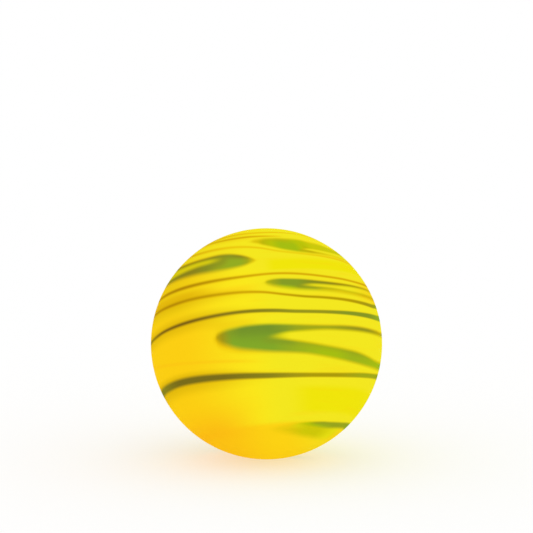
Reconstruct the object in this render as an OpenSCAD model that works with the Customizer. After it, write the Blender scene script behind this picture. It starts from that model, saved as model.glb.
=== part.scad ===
// Glass marble: a solid yellow ball with veins of green, olive and amber glass fused into its skin.
// Millimetres. The origin is the centre of the ball, +Z is up and the side first seen faces -Y.
// The veins wind round a leaning axis, like lines of latitude on a tilted globe. Longitude 0 faces
// the front and grows towards the right, and latitude 90 is the top of the globe.

/* [Ball] */
// Diameter of the ball
ball_d = 25; // [14:0.5:50]

/* [Swirl] */
// Lean of the swirl's axis away from the front, degrees
swirl_lean_back = 20; // [0:1:45]
// Lean of the swirl's axis towards the left, degrees
swirl_lean_left = 5; // [-30:1:30]

/* [Veins] */
// Depth of the green hooks below the skin
hook_depth = 1.5; // [0.5:0.1:3]
// Depth of the bands and streaks below the skin
band_depth = 1; // [0.4:0.1:2.5]
// Depth of the threads below the skin
thread_depth = 0.6; // [0.3:0.1:2]
// Depth of the pale veil below the skin
veil_depth = 0.4; // [0.3:0.1:2]
// Width of a band or streak where it is marked 1
band_w = 0.6; // [0.3:0.05:0.8]
// Width of the olive line where it is marked 1
line_w = 0.4; // [0.2:0.05:0.6]
// Width of a thread where it is marked 1
thread_w = 0.3; // [0.15:0.05:0.4]

/* [Hidden] */
$fn = 160;
ball_r = ball_d / 2;
// How far the vein cutters reach past the skin
cut_past = 1;
// Longest step along a vein, degrees of longitude
vein_step = 5;

leaf_green = [0.47, 0.63, 0.16];
pale_green = [0.66, 0.74, 0.08];
olive = [0.5, 0.45, 0.11];
amber = [0.84, 0.67, 0.05];
lemon = [0.95, 0.9, 0.1];

// Hooks: an outline, and the notch between the hook's two arms, which shows the ball's own glass.
// Each row is longitude, lower edge and upper edge, in degrees. The two edges meet at the tips.
main_leaf = [
    [-25.5, -3.9, -3.9], [-24, -5.2, -2.8], [-22, -6.8, -1.7], [-20, -8.2, -1.2], [-15, -10.5, -0.7],
    [-10, -12, -0.4], [0, -13.7, -0.7], [10, -14.7, -1.5], [20, -15.9, -2.1], [30, -17.6, -2.3],
    [40, -19, -1.9], [50, -19.8, -1.7], [60, -20.3, -1.7], [70, -20.1, -1.4], [80, -19.4, -0.6],
    [100, -17, 1.5], [120, -13.5, 3.2], [140, -9.5, 3], [155, -6, 1.5], [165, -2.5, -2.5]];
main_notch = [
    [3, -6.7, -6.7], [5, -7.9, -5.5], [8, -8.3, -5], [15, -9.4, -4.5], [20, -10.3, -4.3],
    [30, -12.2, -4.2], [40, -13.4, -4.1], [50, -14.2, -4], [60, -15.6, -4], [70, -16.5, -3.6],
    [80, -16.2, -2.6], [100, -14.2, -0.6], [120, -11, 1.2], [140, -7, 1], [155, -2.5, -2.5]];
left_leaf = [
    [-165, 36, 36], [-150, 33, 40], [-130, 31.5, 44], [-110, 31.5, 45], [-90, 32.2, 44.8],
    [-75, 32.5, 43.8], [-60, 32.5, 42.8], [-40, 32.2, 43], [-30, 31.7, 43.3], [-25, 31.4, 42.8],
    [-20, 31.3, 41.8], [-15, 31.5, 40.5], [-10, 32.3, 38.8], [-7, 33.3, 37.2], [-4.5, 35.2, 35.2]];
left_notch = [
    [-155, 36.5, 36.5], [-140, 35, 40], [-120, 34.3, 42.5], [-90, 35.3, 42.3], [-75, 35.7, 41.2],
    [-60, 36, 40.5], [-50, 36.6, 40.5], [-40, 37.5, 40.5], [-33, 38.1, 40.4], [-28, 39, 39]];
right_leaf = [
    [1.5, 21.3, 21.3], [2.5, 20.6, 21.9], [4, 19.9, 22.3], [7, 18.6, 22.6], [10, 17.7, 22.6],
    [15, 16.7, 22.3], [20, 16.2, 22], [30, 15.8, 21], [40, 15.4, 20.4], [50, 15.1, 20.1],
    [60, 15, 20], [75, 15.2, 20.4], [90, 16.2, 21.8], [110, 18.5, 23.8], [130, 20.5, 24.6],
    [145, 22.5, 22.5]];
right_notch = [
    [20, 18.5, 18.5], [22, 18.1, 19], [25, 17.9, 19.3], [30, 17.4, 19.2], [40, 16.8, 18.9],
    [50, 16.4, 18.8], [60, 16.3, 18.9], [75, 16.5, 19.3], [90, 17.5, 20.6], [110, 19.8, 22.6],
    [125, 21.3, 23.3], [136, 22.5, 22.5]];
crown_leaf = [
    [-3, 51.3, 51.3], [-1.5, 50, 52.3], [0, 49.2, 52.8], [5, 47.8, 53.2], [10, 45.5, 53.2],
    [15, 43.2, 53], [20, 41.8, 52.5], [30, 40.2, 51.5], [40, 39.2, 50], [50, 38.3, 49],
    [60, 37.5, 48], [75, 36.6, 47], [95, 36.5, 46.5], [115, 38, 46], [130, 40, 45],
    [140, 42.5, 42.5]];
crown_notch = [
    [29, 42.2, 42.2], [32, 41.7, 43], [36, 41.2, 43.1], [40, 40.7, 42.8], [50, 39.7, 42.2],
    [60, 38.9, 42], [75, 38, 42], [95, 37.9, 42.5], [115, 39.6, 43.2], [126, 41.3, 43.1],
    [132, 42.3, 42.3]];
back_leaf = [
    [-175, -13, -13], [-173.5, -14.5, -11.3], [-170, -16, -9.8], [-163, -17.3, -8.6], [-152, -18.2, -8],
    [-140, -18.2, -7], [-128, -17.5, -5.5], [-115, -16, -4.8], [-104, -14, -6], [-97, -10, -10]];
back_notch = [
    [-160, -12.5, -12.5], [-156.5, -13.6, -11.4], [-149, -14.8, -10.6], [-137, -14.8, -9.4],
    [-124, -14, -8.2], [-112, -12.6, -8], [-104.5, -10.3, -10.3]];
veil_leaf = [
    [-4, -56, -56], [5, -58, -55.4], [15, -60, -55.2], [25, -61.8, -55.3], [35, -63, -55.9],
    [45, -63.8, -56.6], [60, -64, -56.8], [75, -63, -57], [88, -60, -60]];

// Bands, lines and threads: each row is longitude, latitude and width, where 1 is the named width.
broad_path = [
    [-174, -33, 0], [-160, -31, 0.7], [-130, -26.5, 1.1], [-105, -23, 1.2], [-85, -21.8, 1.25],
    [-70, -21.6, 1.15], [-55, -21.4, 1.1], [-40, -22.1, 1.2], [-20, -23.9, 1], [0, -25.6, 0.8],
    [20, -26.3, 0.75], [40, -26.2, 0.75], [60, -25, 0.85], [75, -23.6, 0.95], [90, -21.8, 1.05],
    [110, -20.6, 1], [135, -21.5, 0.8], [155, -23, 0.5], [168, -24.5, 0]];
streak_path = [
    [20, -53.2, 0], [28, -53.3, 0.4], [35, -53.1, 0.75], [42, -53.5, 1.1], [50, -53.7, 1.25],
    [60, -53.3, 1.25], [70, -52.5, 1.25], [80, -52, 1.4], [90, -51.3, 1.5], [110, -49.5, 1.4],
    [135, -48.5, 1.1], [155, -49.5, 0.7], [172, -52, 0]];
low_back_path = [
    [-172, -44.5, 0], [-160, -44, 0.9], [-142, -42, 1.3], [-125, -40, 1.1], [-112, -39, 0.7],
    [-102, -38.5, 0]];
foot_path = [
    [112, -63, 0], [125, -65.5, 0.8], [145, -68, 1.1], [160, -68.5, 0.9], [173, -68, 0]];
olive_path = [
    [-175, -3, 0], [-160, -1.5, 0.6], [-130, 1.5, 0.9], [-105, 3.5, 0.9], [-80, 4, 0.9],
    [-70, 4.4, 0.9], [-60, 5.3, 0.95], [-45, 6.1, 1.05], [-30, 6.6, 1], [-15, 6.9, 0.95],
    [-5, 6.5, 0.9], [5, 5.6, 0.9], [15, 4.7, 0.9], [30, 4.3, 0.9], [45, 4.3, 1.05],
    [60, 4.7, 1.25], [75, 5.6, 1.55], [90, 7.5, 1.6], [115, 10, 1.3], [140, 11, 0.9],
    [160, 10.5, 0.5], [174, 9.5, 0]];
brown_path = [
    [-170, 10, 0], [-155, 11, 0.7], [-125, 14, 1], [-100, 16.4, 1.15], [-75, 17.2, 1.15],
    [-55, 17.6, 1.1], [-40, 17.8, 1], [-20, 17.1, 0.9], [-10, 16.5, 0.85], [0, 15.5, 0.8],
    [10, 13.6, 0.8], [20, 12.3, 0.85], [30, 11.8, 0.9], [40, 11.4, 1], [50, 11, 1.15],
    [60, 10.7, 1.3], [70, 10.8, 1.45], [80, 12, 1.5], [100, 14.3, 1.3], [125, 16.8, 0.9],
    [145, 17.5, 0.5], [158, 17, 0]];
amber_path = [
    [-158, 20, 0], [-145, 20.8, 0.7], [-120, 23, 1], [-90, 24.6, 1.15], [-70, 25.2, 1.15],
    [-50, 25.6, 1.15], [-30, 25.6, 1.05], [-10, 25.6, 0.95], [5, 25.8, 0.9], [15, 25.3, 0.9],
    [25, 24.5, 0.9], [35, 23.6, 0.9], [45, 23, 0.9], [60, 22.4, 0.9], [75, 22.9, 0.9],
    [95, 25.2, 0.8], [125, 28.5, 0.7], [150, 29.5, 0.5], [168, 29, 0]];
upper_path = [
    [-165, 46, 0], [-150, 47.5, 0.6], [-120, 50, 0.9], [-90, 50.5, 1], [-65, 49.8, 1],
    [-50, 49.1, 1], [-30, 48.5, 1], [-20, 47.8, 0.9], [-10, 46.6, 0.9], [0, 44.5, 0.9],
    [10, 41.5, 0.9], [15, 40.3, 0.9], [20, 39.5, 0.9], [30, 38.3, 0.9], [40, 37.5, 0.8],
    [50, 36.8, 0.8], [60, 36.2, 0.8], [75, 34.9, 0.8], [95, 32.8, 0.7], [120, 31.5, 0.5],
    [140, 31.5, 0]];
crown_path = [
    [-140, 60, 0], [-120, 61, 0.8], [-90, 62, 1], [-50, 62.6, 1.15], [-30, 63.2, 1.2],
    [-10, 62.8, 1.2], [0, 62.2, 1.2], [20, 61.2, 1.1], [40, 59.3, 1.1], [60, 57, 1],
    [85, 55, 1], [115, 54.5, 0.7], [140, 55, 0]];
crown_streak_path = [
    [-168, 52, 0], [-150, 53.5, 0.7], [-115, 57, 1], [-85, 58.8, 1.1], [-50, 58.6, 1.2],
    [-30, 58, 1.2], [-10, 57.3, 1.1], [0, 56.7, 1], [10, 56, 0.8], [22, 55.3, 0]];
curl_path = [
    [70, 68, 0], [90, 70, 0.8], [115, 72.5, 1], [140, 73.5, 1], [158, 73, 0.7], [172, 72, 0]];

// A path and its named width, as an outline with two edges
function outline(path, width) = [
    for (row = path)
    let (half = row[2] * width / 2 / ball_r * 180 / PI)
    [row[0], row[1] - half, row[1] + half]];

// Slope of edge k at row i, from the rows on both sides of it
function slope(rows, i, k) =
    let (before = rows[max(i - 1, 0)], after = rows[min(i + 1, len(rows) - 1)])
    (after[k] - before[k]) / (after[0] - before[0]);

// Edge k at the share t of the way from row i to the next one, on a smooth curve through the rows
function between(rows, i, k, t) =
    let (span = rows[i + 1][0] - rows[i][0])
    (1 + 2 * t) * (1 - t) * (1 - t) * rows[i][k]
    + t * (1 - t) * (1 - t) * span * slope(rows, i, k)
    + t * t * (3 - 2 * t) * rows[i + 1][k]
    - t * t * (1 - t) * span * slope(rows, i + 1, k);

// The rows of an outline with smooth rows put in between, a vein_step apart at most
function smooth(rows) = [
    for (i = [0 : len(rows) - 2])
    let (span = rows[i + 1][0] - rows[i][0], steps = ceil(span / vein_step))
    for (j = [0 : steps - 1])
    let (t = j / steps)
    [rows[i][0] + t * span, between(rows, i, 1, t), between(rows, i, 2, t)],
    rows[len(rows) - 1]];

// Point of the globe just past the skin
function outside(lon, lat) =
    (ball_r + cut_past) * [cos(lat) * sin(lon), -cos(lat) * cos(lon), sin(lat)];

// Turns the globe of the swirl into its place in the ball
module swirl() {
    rotate([-swirl_lean_back, 0, 0]) rotate([0, -swirl_lean_left, 0]) children();
}

// A sphere with its seam down the back, at longitude 180, which no vein crosses
module globe(r) {
    rotate([0, 0, 90]) sphere(r = r);
}

// Everything between the ball's centre and an outline on the globe
module wedge(rows) {
    r = smooth(rows);
    last = len(r) - 1;
    upper = [for (i = [1 : last - 1]) outside(r[i][0], r[i][2])];
    lower = [for (i = [1 : last - 1]) outside(r[i][0], r[i][1])];
    tips = [outside(r[0][0], r[0][1]), outside(r[last][0], r[last][1])];
    n = len(upper);
    u = 3;
    d = 3 + n;
    polyhedron(
        points = concat([[0, 0, 0]], tips, upper, lower),
        faces = concat(
            [[1, u, d], [u, 1, 0], [1, d, 0]],
            [[u + n - 1, 2, d + n - 1], [2, u + n - 1, 0], [d + n - 1, 2, 0]],
            [for (i = [0 : n - 2]) each [
                [u + i, u + i + 1, d + i + 1], [u + i, d + i + 1, d + i],
                [u + i + 1, u + i, 0], [d + i, d + i + 1, 0]]]),
        convexity = 10);
}

// Room for a vein: from its depth below the skin to just past it
module pocket(leaf, depth) {
    difference() {
        wedge(leaf);
        globe(ball_r - depth);
        children();
    }
}

// Fills a pocket with glass, flush with the skin
module vein() {
    swirl() intersection() {
        globe(ball_r);
        children();
    }
}

module main_pocket() { pocket(main_leaf, hook_depth) wedge(main_notch); }
module left_pocket() { pocket(left_leaf, hook_depth) wedge(left_notch); }
module right_pocket() { pocket(right_leaf, hook_depth) wedge(right_notch); }
module crown_pocket() { pocket(crown_leaf, hook_depth) wedge(crown_notch); }
module back_pocket() { pocket(back_leaf, hook_depth) wedge(back_notch); }
module broad_pocket() { pocket(outline(broad_path, band_w), band_depth); }
module olive_pocket() { pocket(outline(olive_path, line_w), band_depth); }
module brown_pocket() { pocket(outline(brown_path, thread_w), thread_depth); }
module amber_pocket() { pocket(outline(amber_path, thread_w), thread_depth); }
module upper_pocket() { pocket(outline(upper_path, thread_w), thread_depth); }
module crown_thread_pocket() { pocket(outline(crown_path, thread_w), thread_depth); }
module crown_streak_pocket() { pocket(outline(crown_streak_path, thread_w), thread_depth); }
module curl_pocket() { pocket(outline(curl_path, thread_w), thread_depth); }
module streak_pocket() { pocket(outline(streak_path, band_w), band_depth); }
module veil_pocket() { pocket(veil_leaf, veil_depth); }
module low_back_pocket() { pocket(outline(low_back_path, band_w), band_depth); }
module foot_pocket() { pocket(outline(foot_path, band_w), band_depth); }

// Base glass, with a pocket for every vein
module yellow_ball() {
    color(lemon) swirl() difference() {
        globe(ball_r);
        main_pocket();
        left_pocket();
        right_pocket();
        crown_pocket();
        back_pocket();
        broad_pocket();
        olive_pocket();
        brown_pocket();
        amber_pocket();
        upper_pocket();
        crown_thread_pocket();
        crown_streak_pocket();
        curl_pocket();
        streak_pocket();
        veil_pocket();
        low_back_pocket();
        foot_pocket();
    }
}

// Green glass: the hooks and the streaks
module main_hook() { color(leaf_green) vein() main_pocket(); }
module left_hook() { color(leaf_green) vein() left_pocket(); }
module right_hook() { color(leaf_green) vein() right_pocket(); }
module crown_hook() { color(pale_green) vein() crown_pocket(); }
module back_hook() { color(leaf_green) vein() back_pocket(); }
module lower_streak() { color(leaf_green) vein() streak_pocket(); }
module lower_veil() { color(pale_green) vein() veil_pocket(); }
module low_back_streak() { color(leaf_green) vein() low_back_pocket(); }
module foot_streak() { color(pale_green) vein() foot_pocket(); }

// Brown-olive glass: the band and the line across the middle
module broad_band() { color(olive) vein() broad_pocket(); }
module olive_line() { color(olive) vein() olive_pocket(); }

// Amber glass: the threads
module brown_thread() { color(amber) vein() brown_pocket(); }
module amber_thread() { color(amber) vein() amber_pocket(); }
module upper_thread() { color(amber) vein() upper_pocket(); }
module crown_thread() { color(amber) vein() crown_thread_pocket(); }
module crown_streak() { color(amber) vein() crown_streak_pocket(); }
module crown_curl() { color(amber) vein() curl_pocket(); }

yellow_ball();
main_hook();
left_hook();
right_hook();
crown_hook();
back_hook();
broad_band();
olive_line();
brown_thread();
amber_thread();
upper_thread();
crown_thread();
crown_streak();
crown_curl();
lower_streak();
lower_veil();
low_back_streak();
foot_streak();
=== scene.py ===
from math import ceil, cos, degrees, radians, sin

import bpy
from mathutils import Matrix, Vector


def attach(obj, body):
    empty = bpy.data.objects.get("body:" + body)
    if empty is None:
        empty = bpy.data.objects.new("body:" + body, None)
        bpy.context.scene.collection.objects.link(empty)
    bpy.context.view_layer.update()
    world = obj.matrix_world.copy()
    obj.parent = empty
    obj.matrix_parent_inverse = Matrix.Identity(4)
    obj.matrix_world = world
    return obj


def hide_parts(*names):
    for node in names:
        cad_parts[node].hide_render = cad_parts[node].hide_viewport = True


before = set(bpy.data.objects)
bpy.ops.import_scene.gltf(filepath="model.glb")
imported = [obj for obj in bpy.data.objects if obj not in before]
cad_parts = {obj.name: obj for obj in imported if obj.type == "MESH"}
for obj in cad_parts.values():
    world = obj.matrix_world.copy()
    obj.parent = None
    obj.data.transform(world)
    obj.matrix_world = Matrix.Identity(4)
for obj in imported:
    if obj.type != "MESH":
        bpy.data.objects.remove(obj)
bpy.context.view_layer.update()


# Gob: one drop of molten yellow glass, rolled between grooved rollers until it is round, 25 mm across.
# The marble is all one such drop, never quite even. The veins were stirred into it while it was soft,
# so each of them is later parted from a copy of this drop.
ball_radius = 0.0125
skin_cuts = 79
roller_mark = 0.007
roller_error = 0.00002

bpy.ops.object.select_all(action="DESELECT")
bpy.ops.mesh.primitive_cube_add(size=ball_radius)
gob = bpy.context.object
gob.name = "yellow_ball_glass"
bpy.ops.object.mode_set(mode="EDIT")
bpy.ops.mesh.subdivide(number_cuts=skin_cuts)
bpy.ops.transform.tosphere(value=1)
bpy.ops.object.mode_set(mode="OBJECT")
gob.scale = Vector((1, 1, 1)) * ball_radius / gob.data.vertices[0].co.length
bpy.ops.object.transform_apply(location=False, rotation=False, scale=True)
unevenness = bpy.data.textures.new("roller_unevenness", "CLOUDS")
unevenness.noise_scale = roller_mark
rolled = gob.modifiers.new("rolled", "DISPLACE")
rolled.texture = unevenness
rolled.strength = roller_error
rolled.mid_level = 1
bpy.ops.object.modifier_apply(modifier="rolled")

# Yellow glass: the opaque base glass, lemon at the front and right, warmer at the left and orange low down,
# partly its own tone and partly painted shade on the side away from the light.
# It was pulled round a leaning axis while soft, so its shades lie round that axis like lines of latitude.
swirl = Matrix.Rotation(radians(-20), 3, "X") @ Matrix.Rotation(radians(-5), 3, "Y")


class Glass:
    """A socket of a glass material, for sums that add Math nodes."""

    def __init__(self, tree, socket=None):
        self.tree = tree
        self.socket = socket

    def node(self, kind, settings, sockets, output=0):
        """Adds a node with its settings, then the values or links of its sockets."""
        made = self.tree.nodes.new(kind)
        for name, value in settings.items():
            if name == "stops":
                while len(made.color_ramp.elements) < len(value):
                    made.color_ramp.elements.new(1)
                for stop, (place, colour) in zip(made.color_ramp.elements, value):
                    stop.position = place
                    stop.color = colour
            elif name == "points":
                curve = made.mapping.curves[0]
                curve.points[0].location = value[0]
                curve.points[1].location = value[-1]
                for place, height in value[1:-1]:
                    curve.points.new(place, height)
                made.mapping.update()
            else:
                setattr(made, name, value)
        for name, value in sockets.items():
            if isinstance(value, Glass):
                self.tree.links.new(value.socket, made.inputs[name])
            else:
                made.inputs[name].default_value = value
        return Glass(self.tree, made.outputs[output])

    def sum(self, operation, first, second):
        return self.node("ShaderNodeMath", {"operation": operation}, {0: first, 1: second})

    def __add__(self, other):
        return self.sum("ADD", self, other)

    def __radd__(self, other):
        return self.sum("ADD", other, self)

    def __sub__(self, other):
        return self.sum("SUBTRACT", self, other)

    def __rsub__(self, other):
        return self.sum("SUBTRACT", other, self)

    def __mul__(self, other):
        return self.sum("MULTIPLY", self, other)

    def __rmul__(self, other):
        return self.sum("MULTIPLY", other, self)

    def fade(self, start, end):
        """Goes smoothly from 0 at the start to 1 at the end, whichever of them is higher."""
        settings = {"interpolation_type": "SMOOTHSTEP", "clamp": False}
        return self.node("ShaderNodeMapRange", settings, {0: self, 1: start, 2: end})

    def over(self, below, above):
        """Lays one colour over another, as far as this value says."""
        settings = {"data_type": "RGBA"}
        return self.node("ShaderNodeMix", settings, {0: self, 6: below, 7: above}, 2)


def tint(red, green, blue):
    """A colour of glass, from what a screen shows of it."""
    shown = [red / 255, green / 255, blue / 255]
    light = [c / 12.92 if c < 0.04045 else ((c + 0.055) / 1.055) ** 2.4 for c in shown]
    return (*light, 1)


def share_round(longitude):
    """A longitude as a share of the way round, 0.5 at the front."""
    return (longitude + 180) / 360


def share_up(latitude):
    """A latitude as a share of the way up, 0.5 at the middle."""
    return (latitude + 90) / 180


lemon = tint(244, 232, 32)
bright_lemon = tint(251, 233, 28)
canary = tint(241, 230, 12)
warm_yellow = tint(252, 207, 19)
foot_yellow = tint(253, 213, 21)
orange_yellow = tint(252, 189, 20)
shade_gold = tint(224, 198, 13)
honey = tint(230, 186, 12)
crown_yellow = tint(239, 210, 17)


def yellow_glass(tree):
    """The base glass: places round and up the swirl, its streaks, how sharp its veins are, and its colour."""
    glass = Glass(tree)
    place = glass.node("ShaderNodeTexCoord", {}, {}, "Object")
    outward = glass.node("ShaderNodeVectorMath", {"operation": "NORMALIZE"}, {0: place})
    axes = []
    for axis in swirl.col:
        settings = {"operation": "DOT_PRODUCT"}
        axes.append(glass.node("ShaderNodeVectorMath", settings, {0: outward, 1: axis}, "Value"))
    right, back, top = axes
    turned = glass.node("ShaderNodeMath", {"operation": "ARCTAN2"}, {0: right, 1: back * -1})
    risen = glass.node("ShaderNodeMath", {"operation": "ARCSINE"}, {0: top})
    around = turned * (degrees(1) / 360) + 0.5
    height = risen * (degrees(1) / 180) + 0.5

    def rise(start, end):
        """Goes from 0 at one latitude to 1 at another."""
        return height.fade(share_up(start), share_up(end))

    def belt(start, full, still_full, end):
        """A belt round the swirl, 1 between the middle two latitudes and 0 past the outer two."""
        return rise(start, full) * rise(end, still_full)

    drawn = glass.node("ShaderNodeCombineXYZ", {}, {0: right * 2, 1: back * 2, 2: top * 22})
    streaks = glass.node("ShaderNodeTexNoise", {}, {"Vector": drawn, "Scale": 1, "Detail": 3})
    left = right.fade(0.3, -0.5)
    far_left = right.fade(0.1, -0.8)
    pure_low = belt(-30, -34, -44, -48)
    pure_high = belt(27, 29, 33, 37)
    pure = pure_low * right.fade(0.1, 0.35) + pure_high * right.fade(0, 0.12)
    colour = pure.over(lemon, canary)
    bright = right.fade(0.12, -0.2) * (1 - 0.7 * rise(26, 32))
    colour = bright.over(colour, bright_lemon)
    # Warmer at the left and low down, and orange low at the left: partly the glass's own tone and partly
    # painted shade.
    shift = 0.12 * rise(2, 10) + 0.06 * rise(-42, -30)
    warm = (right + shift).fade(0.05, -0.7)
    warm = warm * (1 - 0.8 * rise(30, 50))
    colour = warm.over(colour, warm_yellow)
    foot = rise(-50, -54) * (1 - 0.45 * right.fade(0.05, 0.4))
    colour = foot.over(colour, foot_yellow)
    orange = (right + 0.1 * rise(-60, -48)).fade(0.05, -0.45)
    orange = orange * rise(-33, -56)
    orange = orange * (1 - 0.35 * rise(-50, -62))
    colour = orange.over(colour, orange_yellow)
    lean = 0.24
    slope = height + around * lean
    streak = slope.fade(share_up(-20.2) + lean / 2, share_up(-18.7) + lean / 2)
    streak = streak * slope.fade(share_up(-17.2) + lean / 2, share_up(-18.7) + lean / 2)
    colour = (streak * right.fade(0.05, -0.35) * 0.35).over(colour, orange_yellow)
    sunny = belt(11, 14, 22, 26)
    colour = (sunny * right.fade(0.72, 0.95) * 0.6).over(colour, warm_yellow)
    smear = belt(16.5, 18.5, 19, 22)
    smear = smear * right.fade(0.05, -0.2) * right.fade(-0.65, -0.3)
    colour = (smear * 0.3).over(colour, orange_yellow)
    smear = belt(-1.5, 0.5, 1.5, 4)
    smear = smear * right.fade(0, -0.2) * right.fade(-0.6, -0.35)
    colour = (smear * 0.25).over(colour, honey)
    # Darker gold above latitude 16 and a honey belt at the upper left are painted shade.
    shade_upper_left = rise(5, 16) * right.fade(-0.4, -0.8)
    colour = (shade_upper_left * 0.45).over(colour, shade_gold)
    dark = belt(16, 18, 20.5, 24)
    colour = (dark * right.fade(-0.3, -0.7)).over(colour, honey)
    crown = rise(50, 57) * right.fade(0.1, -0.3)
    colour = (crown * 0.5).over(colour, crown_yellow)
    drift = streaks.fade(0.5, 0.75) * 0.2
    colour = drift.over(colour, warm_yellow)
    base = {"around": around, "height": height, "ripple": (streaks - 0.5) * 0.2}
    base.update({"left": left, "far_left": far_left, "sharp": 1 - 0.45 * left, "colour": colour})
    return base


# Green hooks: leaf-green glass that the stirring drew out into long hooks, each with a blunt head and two
# arms round the ball. They are 1.5 mm deep, flush with the skin and fused to the yellow glass all round,
# so their borders are a little blurred and stained brown. That amber-brown halo is partly painted shade.
moss = tint(115, 146, 43)
deep_moss = tint(118, 143, 40)
sage = tint(133, 156, 38)
leaf = tint(130, 168, 41)
meadow = tint(147, 172, 34)
grass = tint(157, 180, 27)
lime = tint(165, 190, 18)
pale_lime = tint(186, 196, 10)
pale_reed = tint(203, 201, 11)
reed = tint(152, 165, 31)
straw = tint(161, 168, 25)
fern = tint(136, 142, 33)
olive = tint(139, 131, 28)
bronze = tint(162, 149, 22)
bracken = tint(150, 148, 29)
umber = tint(150, 128, 16)
dark_umber = tint(139, 118, 16)
mustard = tint(189, 170, 8)
pale_mustard = tint(216, 193, 11)
# fringe is the amber at the veins' tips and also the painted shade beside them at the left; halo is the halo
# round them, partly painted shade.
fringe = tint(203, 168, 6)
green_fringe = tint(190, 184, 11)
halo = tint(236, 188, 4)

hook_depth = 0.0015
past_skin = 0.0004
wall_step = 2.5
border_step = 3
same_point = 0.0000001
sliver = 0.0000002
pockets = []
stains = {}


def smooth(rows, step):
    """An outline with more rows on a smooth curve: each has a longitude, a lower and an upper latitude."""
    slopes = []
    for i in range(len(rows)):
        before = rows[max(i - 1, 0)]
        after = rows[min(i + 1, len(rows) - 1)]
        slopes.append([(b - a) / (after[0] - before[0]) for a, b in zip(before, after)])
    result = []
    for i in range(len(rows) - 1):
        span = rows[i + 1][0] - rows[i][0]
        steps = ceil(span / step)
        for j in range(steps):
            t = j / steps
            row = [rows[i][0] + t * span]
            for k in (1, 2):
                start = (1 + 2 * t) * (1 - t) ** 2 * rows[i][k] + t * (1 - t) ** 2 * span * slopes[i][k]
                end = t * t * (3 - 2 * t) * rows[i + 1][k] - t * t * (1 - t) * span * slopes[i + 1][k]
                row.append(start + end)
            result.append(row)
    result.append(rows[-1])
    return result


def swirl_point(longitude, latitude, radius):
    """A point at a place on the swirl, so far from the ball's centre."""
    turn = radians(longitude)
    rise = radians(latitude)
    return radius * (swirl @ Vector((cos(rise) * sin(turn), -cos(rise) * cos(turn), sin(rise))))


def block(name, rows, outer, inner):
    """A block that stands on an outline and reaches from one radius down to another."""
    rows = smooth(rows, wall_step)
    bpy.ops.object.select_all(action="DESELECT")
    bpy.ops.mesh.primitive_grid_add(x_subdivisions=len(rows) - 1, y_subdivisions=1)
    made = bpy.context.object
    made.name = name
    for i, (longitude, lower, upper) in enumerate(rows):
        made.data.vertices[i].co = swirl_point(longitude, lower, outer)
        made.data.vertices[i + len(rows)].co = swirl_point(longitude, upper, outer)
    shrink = inner / outer
    bpy.ops.object.mode_set(mode="EDIT")
    bpy.ops.mesh.select_all(action="SELECT")
    bpy.ops.mesh.remove_doubles(threshold=same_point)
    bpy.ops.mesh.extrude_region_move()
    bpy.ops.transform.resize(value=(shrink, shrink, shrink), center_override=(0, 0, 0))
    bpy.ops.mesh.select_all(action="SELECT")
    bpy.ops.mesh.normals_make_consistent(inside=False)
    bpy.ops.object.mode_set(mode="OBJECT")
    return made


def part_from(piece, tool, way):
    """Cuts a piece with a block, and keeps what is outside it or inside it."""
    parting = piece.modifiers.new("parting", "BOOLEAN")
    parting.operation = way
    parting.solver = "MANIFOLD"
    parting.object = tool
    bpy.context.view_layer.objects.active = piece
    bpy.ops.object.modifier_apply(modifier="parting")


def melt_slivers(piece):
    """Merges points that the cuts have left almost on top of each other, and smooths the skin."""
    bpy.ops.object.select_all(action="DESELECT")
    piece.select_set(True)
    bpy.context.view_layer.objects.active = piece
    bpy.ops.object.mode_set(mode="EDIT")
    bpy.ops.mesh.select_all(action="SELECT")
    bpy.ops.mesh.remove_doubles(threshold=sliver)
    bpy.ops.object.mode_set(mode="OBJECT")
    bpy.ops.object.shade_smooth_by_angle(angle=radians(35))


def inside(along, height, sharp, rows, first, last):
    """How far above the lower edge of an outline a place lies, how far below the upper one, and the edges."""
    edges = []
    for k in (1, 2):
        points = [(0, share_up(rows[0][k]))]
        points += [((row[0] - first) / (last - first), share_up(row[k])) for row in smooth(rows, border_step)]
        points += [(1, share_up(rows[-1][k]))]
        edges.append(along.node("ShaderNodeFloatCurve", {"points": points}, {"Value": along}))
    lower, upper = edges
    return (height - lower) * sharp, (upper - height) * sharp, lower, upper


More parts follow.
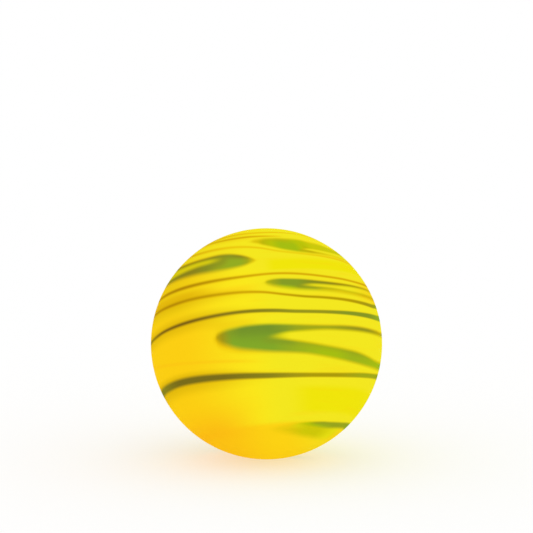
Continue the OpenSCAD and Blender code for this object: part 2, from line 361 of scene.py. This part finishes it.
def stained(base, vein):
    """The colour of the base glass with one vein in it, and an amber halo round the vein, partly where the
    two fused and partly painted shade.
    """
    around, height, sharp, left = [base[name] for name in ("around", "height", "sharp", "left")]
    rows = vein["stain"]
    tip = vein["tip"]
    first = rows[0][0] - tip / 2
    last = rows[-1][0] + tip / 2
    span = last - first
    ends = {0: around, 1: share_round(first), 2: share_round(last)}
    along = around.node("ShaderNodeMapRange", {"clamp": False}, ends)
    above, below, lower, upper = inside(along, height, sharp, rows, first, last)
    drawn_out = along.fade(0, tip / span) * along.fade(1, 1 - tip / span)
    blur_low, blur_high = [blur / 180 for blur in vein["soft"]]
    cover = above.fade(-blur_low, blur_low) * below.fade(-blur_high, blur_high) * drawn_out
    reach_low, reach_high = [reach / 180 for reach in vein["reach"]]
    # glow: painted shade, an amber darkening beside the vein on the shaded left.
    glow = above.fade(-reach_low, 0) * below.fade(-reach_high, 0) * drawn_out * base["far_left"]
    rim_width = 0.3 / 180
    # ring: a halo round the vein, partly where the glasses fused and partly painted shade.
    ring = (above + left * (vein["out"] / 180) + vein["skirt"] / 180).fade(-blur_low, blur_low) * drawn_out
    ring = ring * (below + rim_width).fade(-blur_high - rim_width, blur_high + rim_width)

    def shades(tints):
        """Colours along the vein."""
        stops = [((longitude - first) / span, shade) for longitude, shade in tints]
        return along.node("ShaderNodeValToRGB", {"stops": stops}, {0: along})

    low_shade = shades(vein["low"])
    high_shade = shades(vein["high"])
    across = height.node("ShaderNodeMapRange", {"clamp": False}, {0: height, 1: lower, 2: upper})
    across = across + base["ripple"]
    edge = halo
    if vein["rim"]:
        rim = shades(vein["rim"])
        edge = across.fade(0.3, 0.7).over(halo, rim)
    notch = vein["notch"]
    if notch:
        above, below, lower, upper = inside(along, height, sharp, notch, first, last)
        start = (notch[0][0] - first) / span
        end = (notch[-1][0] - first) / span
        mouth = vein["mouth"] / span
        if mouth < 0:
            start, end = end, start
        arms = along.fade(start + mouth * 0.2, start + mouth * 1.4)
        opening = along.fade(start, start + mouth) * along.fade(end, end - mouth * 0.6)
        near_tip = along.fade(start - mouth * 0.3, start + mouth * 0.2)
        near_tip = near_tip * along.fade(start + mouth * 1.3, start + mouth * 0.8)
        across = across * (1 + arms * vein["arms"])
        shade = across.fade(*vein["turn"]).over(low_shade, high_shade)
        blur = blur_high * vein["crisp"]
        gap = above.fade(-blur, blur) * below.fade(-blur, blur) * opening
        inner = (above - rim_width).fade(-blur, blur) * below.fade(-blur, blur) * opening
        lining = (above + blur * 2).fade(-blur, blur) * below.fade(-blur, blur) * near_tip
        shade = (lining * 0.6).over(shade, vein["lining"])
        shade = gap.over(shade, vein["bare"])
        cover = cover * (1 - gap * vein["gap"])
        ring = ring * (1 - inner)
    else:
        shade = across.fade(*vein["turn"]).over(low_shade, high_shade)
    # Painted shade at the left, then the halo round the vein, partly painted shade.
    colour = (glow * vein["glow"]).over(base["colour"], fringe)
    colour = (ring * vein["ring"]).over(colour, edge)
    return {**base, "colour": cover.over(colour, shade)}


def fused_glass(name, veins):
    """Satin-smooth opaque glass: the yellow base with the given veins in it."""
    material = bpy.data.materials.new(name)
    material.use_nodes = True
    tree = material.node_tree
    base = yellow_glass(tree)
    for vein in veins:
        base = stained(base, vein)
    surface = tree.nodes["Principled BSDF"]
    # In even light the skin shows no glint, so it mirrors almost nothing.
    surface.inputs["Specular IOR Level"].default_value = 0.0003
    tree.links.new(base["colour"].socket, surface.inputs["Base Color"])
    glass = Glass(tree)
    place = glass.node("ShaderNodeTexCoord", {}, {}, "Object")
    wear = glass.node("ShaderNodeTexNoise", {}, {"Vector": place, "Scale": 420, "Detail": 4})
    tree.links.new((0.42 + wear * 0.16).socket, surface.inputs["Roughness"])
    pits = glass.node("ShaderNodeTexNoise", {}, {"Vector": place, "Scale": 1500, "Detail": 2})
    dimpled = glass.node("ShaderNodeBump", {}, {"Strength": 0.05, "Distance": 0.0001, "Height": pits})
    tree.links.new(dimpled.socket, surface.inputs["Normal"])
    return material


def vein_piece(name, slot, depth, leaf_rows, low, high, notch_rows=None, **looks):
    """Parts one vein from a copy of the gob and gives it its glass.

    The looks, with lengths in degrees. Along the vein: tip, over which each end fades. Across it: soft, the
    blur of its lower and upper edge, and turn, where its low colours give way to the high ones. Round it:
    ring and rim, how strong its halo is, partly painted shade, and its colours above; skirt and out, how far
    the halo shows below everywhere and at the left; glow and reach, how strong its amber painted shade at the
    left is and how far it goes down and up. In a hook: mouth, over which the notch opens, less than 0 where
    the arms run to the left; gap, bare and crisp, how open the notch is, its colour and its blur beside the
    upper edge's; lining, the colour round its tip; arms, how much sooner the colours turn beside it. stain is
    the outline of the colour where it isn't the solid's own, and under names the veins that show below this
    one.
    """
    pocket = block(name + "_pocket", leaf_rows, ball_radius + past_skin, ball_radius - depth)
    if notch_rows:
        floor_radius = ball_radius - depth - past_skin
        tongue = block(name + "_tongue", notch_rows, ball_radius + 2 * past_skin, floor_radius)
        part_from(pocket, tongue, "DIFFERENCE")
        bpy.data.objects.remove(tongue)
    pockets.append(pocket)
    bpy.ops.object.select_all(action="DESELECT")
    gob.select_set(True)
    bpy.context.view_layer.objects.active = gob
    bpy.ops.object.duplicate()
    piece = bpy.context.object
    piece.name = name + "_glass"
    part_from(piece, pocket, "INTERSECT")
    melt_slivers(piece)
    vein = {"stain": leaf_rows, "notch": notch_rows, "low": low, "high": high, "turn": (0.2, 0.8)}
    vein.update({"ring": 0.5, "rim": None, "out": 0.4, "skirt": 0, "glow": 0.2, "reach": (3, 3)})
    vein.update({"arms": 0, "crisp": 1.3, "under": []})
    vein.update(looks)
    stains[name] = vein
    layers = [stains[other] for other in vein["under"]] + [vein]
    piece.data.materials.clear()
    piece.data.materials.append(fused_glass(name + "_glass", layers))
    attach(piece, "root")
    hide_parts(name)


main_leaf = [
    (-26.3, -4.4, -4.4), (-25, -5.9, -3), (-23, -7.3, -2.1), (-20, -8.7, -1.4), (-15, -10.7, -0.9),
    (-10, -11.9, -0.5), (0, -13.6, -0.7), (10, -14.7, -1.5), (20, -15.7, -2.1), (30, -17.2, -2.3),
    (40, -18.5, -2.1), (50, -19.5, -2), (60, -20.1, -2), (70, -20.1, -1.9), (80, -19.6, -1.5),
    (100, -17, 1.5), (120, -13.5, 3.2), (140, -9.5, 3), (155, -6, 1.5), (165, -2.5, -2.5)]
main_notch = [
    (-2, -6.8, -6.8), (1, -7.4, -6.2), (4, -7.8, -5.8), (7, -8.2, -5.4), (10, -8.7, -5.1), (20, -10.4, -4.7),
    (30, -12, -4.3), (40, -13.2, -4.3), (50, -14.2, -4.2), (60, -15.5, -4.1), (70, -16.5, -3.9),
    (80, -16.2, -3.2), (100, -14.2, -0.6), (120, -11, 1.2), (140, -7, 1), (155, -2.5, -2.5)]
main_low = [
    (-26.5, fringe), (-22.5, bronze), (-17, leaf), (2, leaf), (10, meadow), (18, grass),
    (28, lime), (36, lime), (46, grass), (75, lime), (100, leaf), (150, leaf), (165, fringe)]
main_high = [
    (-26.5, fringe), (-22.5, bronze), (-18.5, sage), (-12.5, moss), (1, moss), (9, sage), (14, reed),
    (20, straw), (30, straw), (50, bracken), (59, bracken), (74, mustard), (100, leaf), (150, leaf),
    (165, fringe)]
main_rim = [(-26.5, halo), (-19, pale_reed), (8, pale_reed), (24, halo), (165, halo)]
vein_piece(
    "main_hook", "green_glass", hook_depth, main_leaf, main_low, main_high, main_notch, soft=(1.3, 0.9),
    tip=4, turn=(0.15, 0.95), arms=1, gap=1, mouth=14, bare=pale_lime, lining=sage, rim=main_rim,
    ring=0.65, out=1, skirt=0.3)

left_leaf = [
    (-165, 36, 36), (-150, 33, 40), (-130, 31.5, 44), (-110, 31.5, 45), (-90, 32.2, 44.8),
    (-75, 32.5, 43.7), (-60, 32.4, 42.8), (-40, 32, 42.7), (-30, 31.6, 43), (-25, 31.5, 42.8),
    (-20, 31.6, 42.1), (-15, 31.9, 40.9), (-10, 32.6, 39.2), (-6, 33.8, 37.3), (-2.5, 35.1, 35.1)]
left_notch = [
    (-155, 36.5, 36.5), (-140, 35, 40), (-120, 34.3, 42.5), (-90, 35.3, 42.3), (-75, 35.7, 41.2),
    (-60, 36.3, 40.4), (-50, 37, 40.4), (-40, 37.7, 40.4), (-30, 38, 40.2), (-25, 38.2, 39.8),
    (-22, 38.9, 38.9)]
left_low = [
    (-165, fringe), (-140, leaf), (-100, olive), (-44, olive), (-34, fern), (-26, reed), (-18, meadow),
    (-12, meadow), (-8, straw), (-4, pale_mustard)]
left_high = [
    (-165, fringe), (-140, leaf), (-100, dark_umber), (-45, dark_umber), (-30, olive), (-20, fern),
    (-12, olive), (-8, bronze), (-4, pale_mustard)]
vein_piece(
    "left_hook", "green_glass", hook_depth, left_leaf, left_low, left_high, left_notch, soft=(1.2, 0.9),
    tip=4, turn=(0.45, 1), gap=0.6, mouth=-14, bare=pale_lime, lining=fern, glow=0.15)

right_leaf = [
    (0.6, 20.9, 20.9), (2, 20, 21.6), (4, 19.2, 22.1), (7, 18.2, 22.4), (10, 17.4, 22.4),
    (15, 16.5, 22.1), (20, 16, 21.8), (30, 15.6, 20.9), (40, 15.1, 20.3), (50, 14.6, 20),
    (60, 14.7, 19.9), (75, 15, 20.4), (90, 16.2, 21.8), (110, 18.5, 23.8), (130, 20.5, 24.6),
    (145, 22.5, 22.5)]
right_notch = [
    (17, 18.4, 18.4), (21, 18, 18.8), (25, 17.8, 19), (30, 17.5, 18.9), (40, 16.8, 18.7),
    (50, 16.1, 18.8), (60, 16, 18.9), (75, 16.3, 19.3), (90, 17.6, 20.6), (110, 19.8, 22.6),
    (125, 21.3, 23.3), (136, 22.5, 22.5)]
right_low = [
    (0, green_fringe), (5, straw), (10, lime), (25, lime), (31, green_fringe), (42, pale_mustard),
    (52, pale_mustard), (62, fringe), (75, fringe), (100, leaf), (135, leaf), (145, fringe)]
right_high = [
    (0, green_fringe), (5, straw), (10, sage), (18, sage), (25, fern), (36, olive), (43, umber),
    (58, umber), (75, fringe), (100, leaf), (135, leaf), (145, fringe)]
vein_piece(
    "right_hook", "green_glass", hook_depth, right_leaf, right_low, right_high, right_notch, soft=(1.6, 0.8),
    tip=4, turn=(0.1, 0.5), gap=0.95, mouth=12, bare=pale_lime, lining=fern, ring=0.35)

crown_leaf = [
    (-3, 51.2, 51.2), (-1.5, 50, 52.3), (0, 49, 52.8), (5, 46.8, 53.2), (10, 44.5, 53.2),
    (15, 42.8, 53), (20, 41.5, 52.5), (30, 39.9, 51.4), (40, 39.1, 50), (50, 38.3, 49),
    (60, 37.5, 48), (75, 36.6, 47), (95, 36.5, 46.5), (115, 38, 46), (130, 40, 45),
    (140, 42.5, 42.5)]
crown_notch = [
    (27, 42, 42), (31, 41.7, 42.8), (36, 41.1, 42.9), (40, 40.4, 42.6), (50, 39.2, 41.8),
    (60, 38.4, 41.5), (75, 37.8, 41.5), (95, 37.9, 42.5), (115, 39.6, 43.2), (126, 41.3, 43.1),
    (132, 42.3, 42.3)]
crown_stain = [
    (-7, 51, 51), (-4, 50.2, 52), (-1, 49.1, 52.5), (2, 47.6, 52.8), (6, 46, 53.1), (10, 44.4, 53),
    (15, 42.6, 52.9), (20, 41.3, 52.3), (25, 40.3, 51.9), (30, 39.7, 51.5), (35, 39.4, 50.7),
    (40, 39.1, 49.3), (45, 38.7, 48.4), (50, 38.3, 47.8), (60, 37.5, 45.7), (75, 36.6, 44.8),
    (95, 36.5, 45.2), (115, 38, 45.5), (130, 40, 44.8), (140, 42.5, 42.5)]
crown_low = [
    (-7, pale_mustard), (-1, pale_mustard), (3, green_fringe), (9, pale_lime), (15, lime), (25, lime),
    (30, pale_lime), (35, mustard), (45, pale_mustard), (52, crown_yellow), (75, crown_yellow), (100, lime),
    (130, lime), (140, pale_mustard)]
crown_high = [
    (-7, pale_mustard), (-1, pale_mustard), (5, green_fringe), (20, green_fringe), (27, pale_lime),
    (33, pale_lime), (40, pale_reed), (75, pale_reed), (100, lime), (130, lime), (140, pale_mustard)]
vein_piece(
    "crown_hook", "pale_green_glass", hook_depth, crown_leaf, crown_low, crown_high, crown_notch,
    soft=(1.5, 2.1), tip=8, turn=(0.4, 1.1), arms=1.7, gap=0.85, mouth=8, crisp=0.5, bare=pale_reed,
    lining=mustard, stain=crown_stain)

back_leaf = [
    (-175, -13, -13), (-173.5, -14.5, -11.3), (-170, -16, -9.8), (-163, -17.3, -8.6), (-152, -18.2, -8),
    (-140, -18.2, -7), (-128, -17.5, -5.5), (-115, -16, -4.8), (-104, -14, -6), (-97, -10, -10)]
back_notch = [
    (-160, -12.5, -12.5), (-156.5, -13.6, -11.4), (-149, -14.8, -10.6), (-137, -14.8, -9.4),
    (-124, -14, -8.2), (-112, -12.6, -8), (-104.5, -10.3, -10.3)]
back_low = [
    (-175, fringe), (-172, bronze), (-165, leaf), (-150, meadow), (-130, lime), (-110, straw), (-97, fringe)]
back_high = [
    (-175, fringe), (-172, bronze), (-165, moss), (-152, moss), (-135, straw), (-110, straw), (-97, fringe)]
vein_piece(
    "back_hook", "green_glass", hook_depth, back_leaf, back_low, back_high, back_notch, soft=(1.1, 0.9),
    tip=4, turn=(0.15, 0.95), arms=1, gap=1, mouth=14, bare=pale_lime, lining=deep_moss)


# Band and line: two long runs of olive-brown glass right across the middle, one broad and one narrow.
# Each is 1 mm deep, darkest at the left and greener where it runs off to the right.
dark_olive = tint(121, 108, 27)
brown_olive = tint(120, 92, 21)
drab_olive = tint(133, 115, 26)
green_olive = tint(134, 150, 37)
ochre = tint(171, 154, 12)

band_depth = 0.001
band_width = 0.0006
line_width = 0.0004


def run_piece(name, slot, depth, width, path, low, high=None, **looks):
    """A vein along a path with shares of the given width, in one row of tints or, across it, two."""
    half = degrees(width / 2 / ball_radius)
    rows = [(longitude, latitude - w * half, latitude + w * half) for longitude, latitude, w in path]
    vein_piece(name, slot, depth, rows, low, high or low, **looks)


broad_path = [
    (-174, -33, 0), (-160, -31, 0.7), (-130, -26.5, 1.1), (-105, -23, 1.25), (-85, -21.8, 1.3),
    (-70, -21.6, 1.35), (-55, -21.5, 1.35), (-40, -22.2, 1.35), (-20, -23.8, 1.15), (0, -25.4, 0.95),
    (20, -26.2, 0.75), (40, -26.1, 0.75), (60, -25, 0.85), (75, -23.8, 0.85), (90, -22.2, 1),
    (110, -20.6, 1), (135, -21.5, 0.8), (155, -23, 0.5), (168, -24.5, 0)]
broad_tints = [
    (-174, mustard), (-150, olive), (-75, olive), (-57, dark_olive), (-25, dark_olive), (0, olive),
    (13, bronze), (23, ochre), (38, ochre), (60, straw), (78, straw), (110, leaf), (150, olive),
    (168, mustard)]
run_piece(
    "broad_band", "olive_glass", band_depth, band_width, broad_path, broad_tints,
    soft=(0.6, 0.6), tip=6, glow=0.55, reach=(4, 2))

olive_path = [
    (-175, -3, 0), (-160, -1.5, 0.6), (-130, 1.5, 0.9), (-105, 3.5, 0.9), (-80, 4, 0.9),
    (-70, 4.4, 0.9), (-60, 5.2, 0.85), (-45, 6, 0.95), (-30, 6.5, 0.95), (-15, 6.7, 0.9),
    (-5, 6.4, 0.95), (5, 5.7, 0.95), (15, 4.8, 0.9), (30, 4.4, 0.9), (45, 4.4, 1.05),
    (60, 4.6, 1.3), (75, 5.3, 1.5), (90, 7.2, 1.6), (115, 10, 1.3), (140, 11, 0.9),
    (160, 10.5, 0.5), (174, 9.5, 0)]
olive_tints = [
    (-175, mustard), (-150, umber), (-75, umber), (-62, brown_olive), (-40, brown_olive), (-20, drab_olive),
    (0, olive), (14, bracken), (30, bracken), (43, green_olive), (62, green_olive), (75, meadow), (110, leaf),
    (150, olive), (174, mustard)]
run_piece(
    "olive_line", "olive_glass", band_depth, line_width, olive_path, olive_tints,
    soft=(0.5, 0.5), tip=6, ring=0.3, glow=0.5, reach=(3.5, 2.5))


# Threads: thin amber and brown lines, 0.6 mm deep, where a little green glass was drawn out so far that
# it browned the yellow. They lie across the upper half and round the top of the swirl.
dark_brown = tint(176, 131, 8)
brown = tint(184, 142, 6)
dark_amber = tint(203, 160, 7)
dark_mustard = tint(182, 155, 5)
amber = tint(215, 171, 9)
pale_amber = tint(235, 197, 14)
faint_amber = tint(236, 209, 17)

thread_depth = 0.0006
thread_width = 0.0003

brown_path = [
    (-170, 10, 0), (-155, 11, 0.7), (-125, 14, 1), (-100, 16.4, 1.15), (-75, 17.2, 1.15),
    (-55, 17.5, 1.1), (-40, 17.7, 1), (-20, 17.2, 0.9), (-10, 16.7, 0.85), (0, 15.6, 0.8),
    (10, 13.7, 0.8), (20, 12.3, 0.85), (30, 11.8, 0.9), (40, 11.4, 1), (50, 11, 1.15),
    (60, 10.7, 1.3), (70, 10.8, 1.45), (80, 12, 1.5), (100, 14.3, 1.3), (125, 16.8, 0.9),
    (145, 17.5, 0.5), (158, 17, 0)]
brown_tints = [
    (-170, pale_amber), (-150, dark_amber), (-75, brown), (-52, dark_brown), (-30, brown), (-10, dark_amber),
    (4, dark_amber), (20, dark_mustard), (48, dark_mustard), (64, bronze), (80, reed), (110, leaf),
    (140, mustard), (158, pale_amber)]
run_piece(
    "brown_thread", "amber_glass", thread_depth, thread_width, brown_path, brown_tints,
    soft=(0.55, 0.55), tip=6, ring=0.4, glow=0.4, reach=(3, 1.5))

amber_path = [
    (-158, 20, 0), (-145, 20.8, 0.7), (-120, 23, 1), (-90, 24.6, 1.25), (-70, 25.2, 1.35),
    (-50, 25.5, 1.4), (-30, 25.5, 1.25), (-10, 25.5, 1), (5, 25.7, 0.9), (15, 25.3, 0.9),
    (25, 24.5, 0.9), (35, 23.6, 0.9), (45, 23, 0.9), (60, 22.4, 0.9), (75, 22.9, 0.9),
    (95, 25.2, 0.8), (125, 28.5, 0.7), (150, 29.5, 0.5), (168, 29, 0)]
amber_tints = [
    (-158, pale_amber), (-130, dark_amber), (-75, brown), (-50, dark_brown), (-30, brown), (-12, dark_amber),
    (0, amber), (60, amber), (90, dark_amber), (130, amber), (168, pale_amber)]
run_piece(
    "amber_thread", "amber_glass", thread_depth, thread_width, amber_path, amber_tints,
    soft=(0.55, 0.55), tip=6, ring=0.25, glow=0.1)

upper_path = [
    (-165, 46, 0), (-150, 47.5, 0.6), (-120, 50, 0.9), (-90, 50.5, 1.2), (-65, 49.8, 1.5),
    (-50, 49.1, 1.5), (-30, 48.5, 1.4), (-20, 47.9, 1.2), (-10, 46.6, 1), (0, 44.5, 0.9),
    (10, 41.5, 0.9), (15, 40.3, 0.9), (20, 39.5, 0.9), (30, 38.3, 0.9), (40, 37.5, 0.8),
    (50, 36.8, 0.8), (60, 36.2, 0.8), (75, 34.9, 0.8), (95, 32.8, 0.7), (120, 31.5, 0.5),
    (140, 31.5, 0)]
upper_tints = [
    (-165, pale_amber), (-120, amber), (-60, amber), (-25, pale_amber), (0, pale_amber), (14, faint_amber),
    (30, faint_amber), (45, pale_amber), (140, pale_amber)]
run_piece(
    "upper_thread", "amber_glass", thread_depth, thread_width, upper_path, upper_tints,
    soft=(0.8, 0.8), tip=6, ring=0.2, glow=0.15)

crown_path = [
    (-140, 60, 0), (-120, 61, 0.8), (-90, 62, 1), (-50, 62.6, 1.3), (-30, 63.2, 1.5),
    (-10, 62.8, 1.6), (0, 62.2, 1.6), (20, 61.2, 1.3), (40, 59.3, 1), (60, 57, 1),
    (85, 55, 1), (115, 54.5, 0.7), (140, 55, 0)]
crown_tints = [
    (-140, pale_amber), (-90, amber), (-45, amber), (-10, pale_amber), (20, pale_amber), (40, faint_amber),
    (85, pale_amber), (140, pale_amber)]
run_piece(
    "crown_thread", "amber_glass", thread_depth, thread_width, crown_path, crown_tints,
    soft=(1, 1), tip=8, ring=0.2, glow=0.1)

crown_streak_path = [
    (-168, 52, 0), (-150, 53.5, 0.7), (-115, 57, 1), (-85, 58.6, 1.1), (-50, 58.2, 1.1),
    (-30, 57.7, 1.3), (-10, 57.3, 1.5), (0, 56.7, 1.4), (10, 56, 1), (22, 55.3, 0)]
crown_streak_tints = [(-168, pale_amber), (-100, amber), (-45, dark_amber), (-10, amber), (22, pale_amber)]
run_piece(
    "crown_streak", "amber_glass", thread_depth, thread_width, crown_streak_path, crown_streak_tints,
    soft=(0.9, 0.9), tip=8, ring=0.3, glow=0.3)

curl_path = [
    (70, 68, 0), (90, 70, 0.8), (115, 72.5, 1), (140, 73.5, 1), (158, 73, 0.7), (172, 72, 0)]
curl_tints = [(70, pale_amber), (110, amber), (145, amber), (172, pale_amber)]
run_piece(
    "crown_curl", "amber_glass", thread_depth, thread_width, curl_path, curl_tints,
    soft=(0.8, 0.8), tip=10, ring=0.25)


# Lower streaks: green glass near the foot of the swirl, a firm streak with a thin pale veil below it at
# the right, and two more on the far side. The veil is a skin 0.4 mm deep, so its green is the palest.
veil_green = tint(207, 201, 10)
veil_yellow = tint(220, 212, 15)
veil_gold = tint(222, 200, 13)
veil_amber = tint(237, 205, 16)
veil_lemon = tint(230, 223, 18)

veil_depth = 0.0004

veil_leaf = [
    (-4, -56, -56), (5, -58, -55.4), (15, -60, -55.4), (25, -61.8, -55.8), (35, -63, -56.2),
    (45, -63.8, -56.6), (60, -64, -56.8), (75, -63, -57), (88, -60, -60)]
veil_stain = [
    (-4, -56, -56), (5, -58.5, -54.6), (15, -60.4, -53.2), (25, -61.8, -52.8), (35, -62.8, -53),
    (45, -63.6, -54), (60, -64, -54), (75, -63, -54), (88, -60, -60)]
veil_low = [
    (-4, veil_amber), (5, veil_amber), (16, veil_gold), (28, veil_green), (44, veil_green), (66, veil_lemon),
    (88, foot_yellow)]
veil_high = [
    (-4, veil_amber), (12, veil_amber), (20, veil_yellow), (30, veil_green), (44, veil_green),
    (66, veil_lemon), (88, foot_yellow)]
vein_piece(
    "lower_veil", "pale_green_glass", veil_depth, veil_leaf, veil_low, veil_high, soft=(3, 1.8), tip=16,
    turn=(0.4, 0.8), ring=0.1, stain=veil_stain)

streak_path = [
    (18, -53.4, 0), (28, -53.6, 0.75), (35, -53.7, 1.05), (42, -53.8, 1.3), (50, -53.9, 1.4),
    (60, -53.5, 1.4), (70, -52.8, 1.35), (80, -52, 1.4), (90, -51.3, 1.5), (110, -49.5, 1.4),
    (135, -48.5, 1.1), (155, -49.5, 0.7), (172, -52, 0)]
streak_low = [
    (18, veil_green), (28, pale_lime), (35, lime), (44, grass), (60, reed), (75, reed), (100, leaf),
    (172, pale_lime)]
streak_high = [
    (18, veil_green), (28, pale_lime), (35, straw), (42, reed), (75, reed), (100, leaf), (172, pale_lime)]
run_piece(
    "lower_streak", "green_glass", band_depth, band_width, streak_path, streak_low, streak_high,
    soft=(1.4, 0.9), tip=8, ring=0.1, under=["lower_veil"])

low_back_path = [
    (-172, -44.5, 0), (-160, -44, 0.9), (-142, -42, 1.3), (-125, -40, 1.1), (-112, -39, 0.7),
    (-102, -38.5, 0)]
low_back_tints = [(-172, fringe), (-160, straw), (-140, leaf), (-120, straw), (-102, fringe)]
run_piece(
    "low_back_streak", "green_glass", band_depth, band_width, low_back_path, low_back_tints,
    soft=(0.9, 0.9), tip=8)

foot_path = [
    (112, -63, 0), (125, -65.5, 0.8), (145, -68, 1.1), (160, -68.5, 0.9), (173, -68, 0)]
foot_tints = [(112, veil_amber), (130, veil_green), (160, pale_lime), (173, veil_amber)]
run_piece(
    "foot_streak", "pale_green_glass", band_depth, band_width, foot_path, foot_tints,
    soft=(1.2, 1.2), tip=10)


# Yellow ball: the rest of the gob, with a pocket where each vein lies. The glasses fused while they were
# hot, so each vein's colour runs a little way into the yellow round its pocket. The halo round each vein
# is partly painted shade, and its amber darkening at the left is painted shade.
for pocket in pockets:
    part_from(gob, pocket, "DIFFERENCE")
    bpy.data.objects.remove(pocket)
melt_slivers(gob)
gob.data.materials.clear()
gob.data.materials.append(fused_glass("yellow_ball_glass", stains.values()))
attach(gob, "root")
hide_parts("yellow_ball")


# Studio: a wide matt white floor under the ball, even white light from all round, and a camera that looks
# down on the ball a little, from about a third of a metre away. The floor glows as evenly as the tent
# above it, so the ball is lit alike on all sides, and to the camera it shows the ball's soft shadow.
bpy.ops.object.select_all(action="DESELECT")
bpy.ops.mesh.primitive_plane_add(size=8, location=(0, 0, -ball_radius))
floor = bpy.context.object
floor.name = "studio_floor"
bpy.ops.object.transform_apply(location=True, rotation=False, scale=False)
paper = bpy.data.materials.new("white_paper")
paper.use_nodes = True
paper.cycles.emission_sampling = "NONE"
paper.node_tree.nodes.remove(paper.node_tree.nodes["Principled BSDF"])
sheet = Glass(paper.node_tree)
seen = sheet.node("ShaderNodeLightPath", {}, {}, "Is Camera Ray")
matt = sheet.node("ShaderNodeBsdfDiffuse", {}, {"Color": (1, 1, 1, 1)})
glow = sheet.node("ShaderNodeEmission", {}, {"Color": (1, 1, 1, 1), "Strength": 1})
lit = sheet.node("ShaderNodeMixShader", {}, {0: 0.3 + seen * 0.3, 1: glow, 2: matt})
paper.node_tree.links.new(lit.socket, paper.node_tree.nodes["Material Output"].inputs["Surface"])
floor.data.materials.append(paper)

sky = bpy.data.worlds.new("white_tent")
sky.use_nodes = True
sky.node_tree.nodes["Background"].inputs["Color"].default_value = (1, 1, 1, 1)
sky.node_tree.nodes["Background"].inputs["Strength"].default_value = 1
bpy.context.scene.world = sky

away = 0.3203
view_height = radians(10)
view_tilt = radians(81.4935)
bpy.ops.object.camera_add(
    location=(0, -away * cos(view_height), away * sin(view_height)),
    rotation=(view_tilt, 0, 0))
camera = bpy.context.object
camera.data.lens = 200
camera.data.sensor_width = 36
camera.data.clip_start = 0.01
bpy.context.scene.camera = camera
bpy.context.scene.view_settings.view_transform = "Standard"
